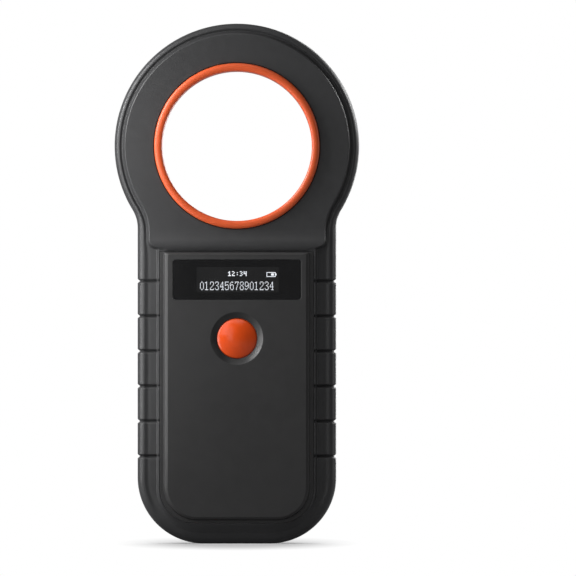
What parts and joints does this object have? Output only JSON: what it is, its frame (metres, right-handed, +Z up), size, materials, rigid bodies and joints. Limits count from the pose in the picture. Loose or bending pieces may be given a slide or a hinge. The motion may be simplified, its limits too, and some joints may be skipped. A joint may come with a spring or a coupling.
{
  "type": "microchip scanner",
  "caption": "Hand-held animal microchip scanner: a ring-shaped antenna head on a flat grip with side grooves, a display window and one push button on the front.",
  "frame": {"origin": "middle of the bottom edge, halfway through the thickness from the button's dome to the palm pad", "axes": "+Z up the long axis from the handle to the ring head, -Y out of the display side, +X to the user's right when facing the display"},
  "size_m": [0.0678, 0.0228, 0.144],
  "materials": {
    "shell_black": "fine moulded texture, satin black",
    "panel_black": "fine moulded texture, satin black",
    "trim_orange": "satin orange",
    "button_orange": "satin orange",
    "adhesive": "translucent adhesive film",
    "window_tint": "gloss dark tinted lens",
    "foam_black": "closed-cell foam",
    "display_glass": "dark glass",
    "display_film": "polarising film",
    "flex_amber": "polyimide film",
    "connector_cream": "natural nylon",
    "holder_white": "white moulding",
    "chip_black": "black epoxy",
    "plunger_grey": "grey plunger",
    "board_green": "green solder mask",
    "board_blue": "blue solder mask",
    "can_steel": "tinned steel",
    "ferrite_grey": "ferrite",
    "passive_tan": "ceramic chips",
    "cell_foil": "laminated foil",
    "lead_red": "insulation",
    "lead_black": "insulation",
    "former_cream": "natural nylon",
    "copper_wire": "enamelled copper",
    "label_grey": "blank silver-grey film",
    "screw_zinc": "zinc plated"
  },
  "bodies": {
    "housing": {"front_shell": "shell_black", "rear_shell": "shell_black", "ring_trim": "trim_orange", "front_panel": "panel_black", "panel_tape": "adhesive", "display_window": "window_tint", "window_tape": "foam_black", "display_gasket": "foam_black", "oled_glass": "display_glass", "oled_polarizer": "display_film", "oled_flex": "flex_amber", "flex_connector": "connector_cream", "display_holder": "holder_white", "tact_switch": "chip_black", "main_board": "board_green", "microcontroller": "chip_black", "reader_chip": "chip_black", "power_chip": "chip_black", "crystal": "can_steel", "inductor": "ferrite_grey", "board_passives": "passive_tan", "wireless_board": "board_blue", "wireless_shield": "can_steel", "buzzer": "chip_black", "usb_port": "can_steel", "usb_tongue": "chip_black", "battery": "cell_foil", "battery_tape": "adhesive", "battery_lead_red": "lead_red", "battery_lead_black": "lead_black", "battery_plug": "connector_cream", "battery_socket": "connector_cream", "coil_former": "former_cream", "antenna_coil": "copper_wire", "coil_leads": "copper_wire", "rear_label": "label_grey", "case_screws": "screw_zinc", "board_screws": "screw_zinc"},
    "button": {"scan_button": "button_orange"},
    "plunger": {"switch_plunger": "plunger_grey"}
  },
  "joints": [
    {"name": "button_press", "type": "slide", "parent": "housing", "child": "button", "axis": [0, 1, 0], "range_m": [0, 0.0005], "stiffness_N_per_m": 60},
    {"name": "plunger_press", "type": "slide", "parent": "housing", "child": "plunger", "axis": [0, 1, 0], "range_m": [0, 0.0005], "stiffness_N_per_m": 20}
  ],
  "couplings": [
    {"joint": "plunger_press", "follows": "button_press", "ratio": 1}
  ]
}
